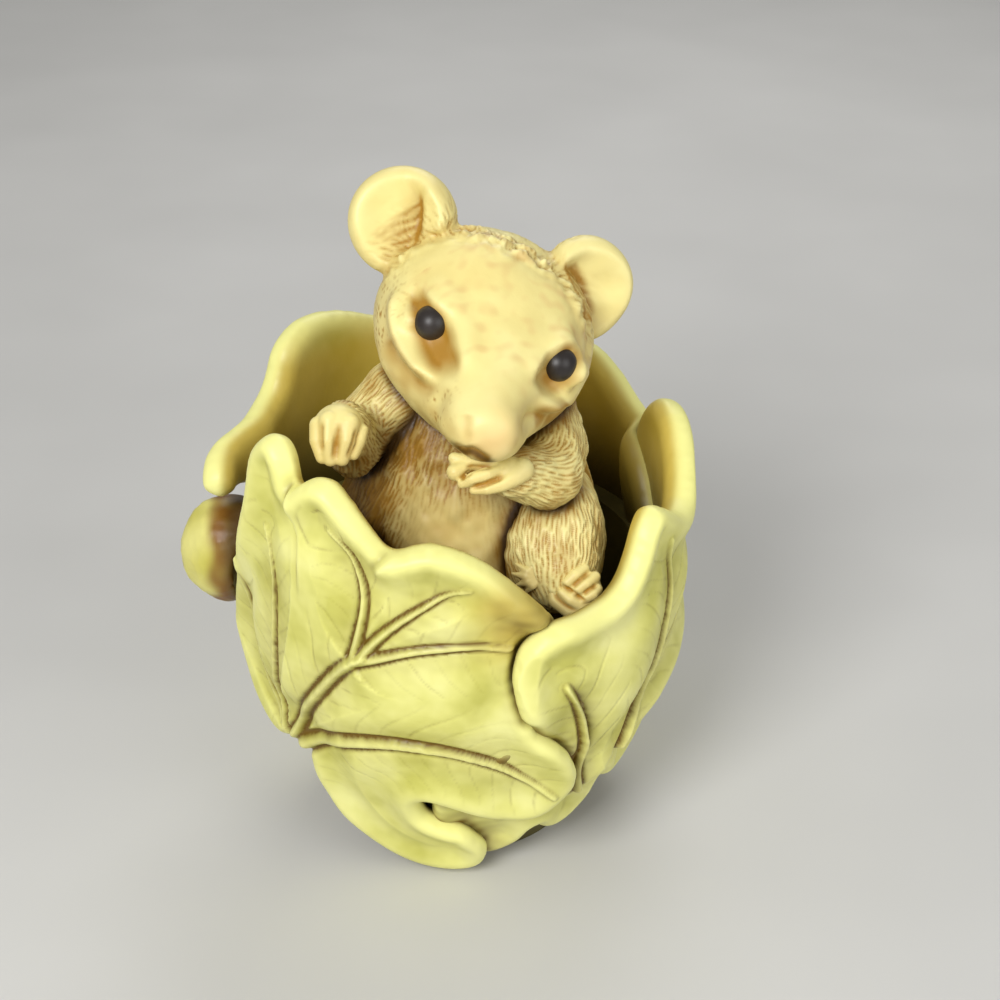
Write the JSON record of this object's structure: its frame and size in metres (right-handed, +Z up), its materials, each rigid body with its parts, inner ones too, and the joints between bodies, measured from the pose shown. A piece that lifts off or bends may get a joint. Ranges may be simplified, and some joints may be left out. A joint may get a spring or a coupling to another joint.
{
  "type": "mouse figurine in a cup of leaves",
  "caption": "Small cast figurine of a big-eared mouse sitting upright in a cup of curled lobed leaves, one paw raised and one at its mouth, with a round nut at the side.",
  "frame": {"origin": "centre of the flat underside of the cup, where it meets the surface that it stands on", "axes": "+Z up, +X to the right as seen from the front, -Y towards the front, where the mouse faces"},
  "size_m": [0.0447, 0.0398, 0.0596],
  "materials": {
    "leaf_resin": "satin",
    "mouse_resin": "satin",
    "nut_resin": "satin",
    "bowl_resin": "matte",
    "eye_bead": "soft gloss"
  },
  "bodies": {
    "root": {"bowl": "bowl_resin", "front_leaf": "leaf_resin", "right_leaf": "leaf_resin", "under_leaf": "leaf_resin", "back_left_leaf": "leaf_resin", "back_right_leaf": "leaf_resin", "nut": "nut_resin", "mouse_body": "mouse_resin", "mouse_head": "mouse_resin", "left_ear": "mouse_resin", "right_ear": "mouse_resin", "left_eye": "eye_bead", "right_eye": "eye_bead", "left_arm": "mouse_resin", "right_arm": "mouse_resin", "left_paw": "mouse_resin", "right_paw": "mouse_resin", "left_thigh": "mouse_resin", "right_thigh": "mouse_resin", "left_foot": "mouse_resin", "right_foot": "mouse_resin"}
  },
  "joints": []
}
